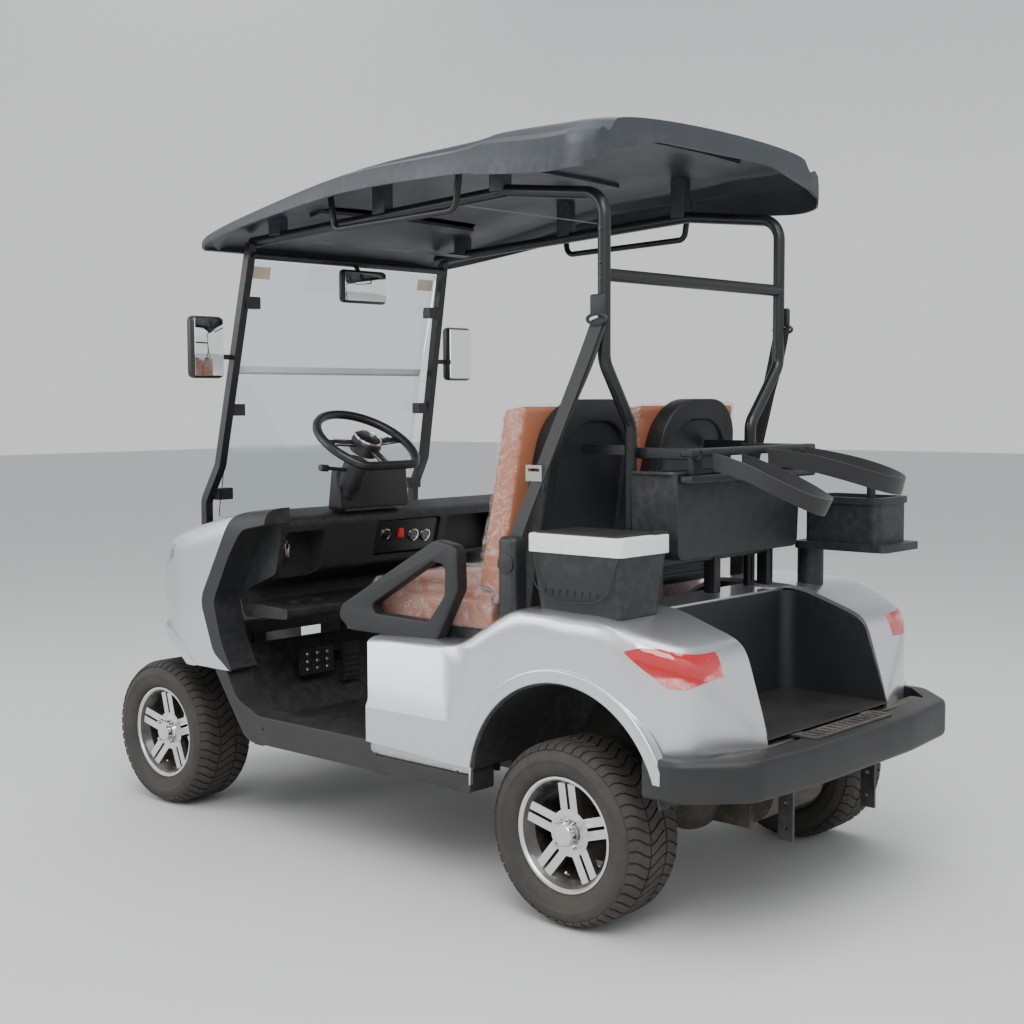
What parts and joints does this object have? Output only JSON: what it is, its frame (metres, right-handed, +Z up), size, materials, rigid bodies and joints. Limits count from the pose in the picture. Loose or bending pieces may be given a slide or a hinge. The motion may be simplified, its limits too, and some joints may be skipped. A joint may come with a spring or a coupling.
{
  "type": "golf cart",
  "caption": "Two-seat electric golf cart with a roof, folding windshield, bag well, cooler and steered front wheels.",
  "frame": {"origin": "on the ground at the middle of the cart's overall length and width", "axes": "+Z up, -Y to the front, +X to the cart's left side"},
  "size_m": [1.2022, 2.448, 1.9574],
  "materials": {
    "body_paint": "silver white metallic, clear coated",
    "trim_plastic": "black, fine texture",
    "roof_plastic": "dark grey, fine texture",
    "gloss_plastic": "black, satin",
    "lid_plastic": "white band with a dark top",
    "post_paint": "black powder coat",
    "frame_paint": "black paint, dusty",
    "battery_case": "plain",
    "alloy": "machined faces, black pockets",
    "tyre_rubber": "black, dusty",
    "clear_pane": "clear acrylic",
    "tail_glass": "red lens",
    "head_glass": "clear lens",
    "seat_vinyl": "saddle brown vinyl under clear film",
    "webbing": "black woven webbing"
  },
  "bodies": {
    "cart": {"front_cowl": "body_paint", "rear_body": "body_paint", "rocker_sills": "trim_plastic", "cowl_trim": "trim_plastic", "rear_bumper": "trim_plastic", "front_bumper": "trim_plastic", "dash": "trim_plastic", "arch_liners": "trim_plastic", "armrests": "trim_plastic", "bag_well": "trim_plastic", "floor_pan": "trim_plastic", "seat_base": "trim_plastic", "pedals": "trim_plastic", "roof": "roof_plastic", "mirrors": "gloss_plastic", "steering_column": "gloss_plastic", "seat_back_shells": "gloss_plastic", "basket": "gloss_plastic", "bag_holder": "gloss_plastic", "cooler_box": "gloss_plastic", "ball_washer": "gloss_plastic", "windshield_posts": "post_paint", "rear_struts": "post_paint", "roof_handles": "post_paint", "bag_stand": "post_paint", "hitch_brackets": "post_paint", "windshield_hinge": "post_paint", "frame_rails": "frame_paint", "front_suspension": "frame_paint", "steering_rack": "frame_paint", "rear_axle": "frame_paint", "rear_springs": "frame_paint", "battery_pack": "battery_case", "windshield": "clear_pane", "tail_lamps": "tail_glass", "headlamps": "head_glass", "seat_cushion": "seat_vinyl", "seat_backs": "seat_vinyl", "seat_belts": "webbing", "bag_straps": "webbing"},
    "wheel_front_left": {"tyre_front_left": "tyre_rubber", "rim_front_left": "alloy"},
    "wheel_front_right": {"tyre_front_right": "tyre_rubber", "rim_front_right": "alloy"},
    "wheel_rear_left": {"tyre_rear_left": "tyre_rubber", "rim_rear_left": "alloy"},
    "wheel_rear_right": {"tyre_rear_right": "tyre_rubber", "rim_rear_right": "alloy"},
    "knuckle_left": {"knuckle_left": "frame_paint"},
    "knuckle_right": {"knuckle_right": "frame_paint"},
    "tie_rods": {"tie_rods": "frame_paint"},
    "steering_wheel": {"steering_wheel": "gloss_plastic"},
    "cooler_lid": {"cooler_lid": "lid_plastic"}
  },
  "joints": [
    {"name": "steering", "type": "hinge", "parent": "cart", "child": "steering_wheel", "pos_m": [0.25, -0.34024, 1.0901], "axis": [0, 0.5299, 0.848], "range_deg": [-480, 480]},
    {"name": "steer_left", "type": "hinge", "parent": "cart", "child": "knuckle_left", "pos_m": [0.33, -0.954, 0.2265], "axis": [0, 0, 1], "range_deg": [-32.01, 32.01]},
    {"name": "steer_right", "type": "hinge", "parent": "cart", "child": "knuckle_right", "pos_m": [-0.33, -0.954, 0.2265], "axis": [0, 0, 1], "range_deg": [-32.01, 32.01]},
    {"name": "rack", "type": "slide", "parent": "cart", "child": "tie_rods", "axis": [-1, 0, 0], "range_m": [-0.0638, 0.0638]},
    {"name": "spin_front_left", "type": "hinge", "parent": "knuckle_left", "child": "wheel_front_left", "pos_m": [0.455, -0.954, 0.2265], "axis": [1, 0, 0], "continuous": true},
    {"name": "spin_front_right", "type": "hinge", "parent": "knuckle_right", "child": "wheel_front_right", "pos_m": [-0.455, -0.954, 0.2265], "axis": [1, 0, 0], "continuous": true},
    {"name": "spin_rear_left", "type": "hinge", "parent": "cart", "child": "wheel_rear_left", "pos_m": [0.498, 0.726, 0.2265], "axis": [1, 0, 0], "continuous": true},
    {"name": "spin_rear_right", "type": "hinge", "parent": "cart", "child": "wheel_rear_right", "pos_m": [-0.498, 0.726, 0.2265], "axis": [1, 0, 0], "continuous": true},
    {"name": "cooler_lid_hinge", "type": "hinge", "parent": "cart", "child": "cooler_lid", "pos_m": [0.455, 0.591, 0.9003], "axis": [1, 0, 0], "range_deg": [0, 70]}
  ],
  "couplings": [
    {"joint": "steer_left", "follows": "steering", "ratio": 0.066667},
    {"joint": "steer_right", "follows": "steering", "ratio": 0.066667},
    {"joint": "rack", "follows": "steering", "m_per_rad": 0.0075797}
  ]
}
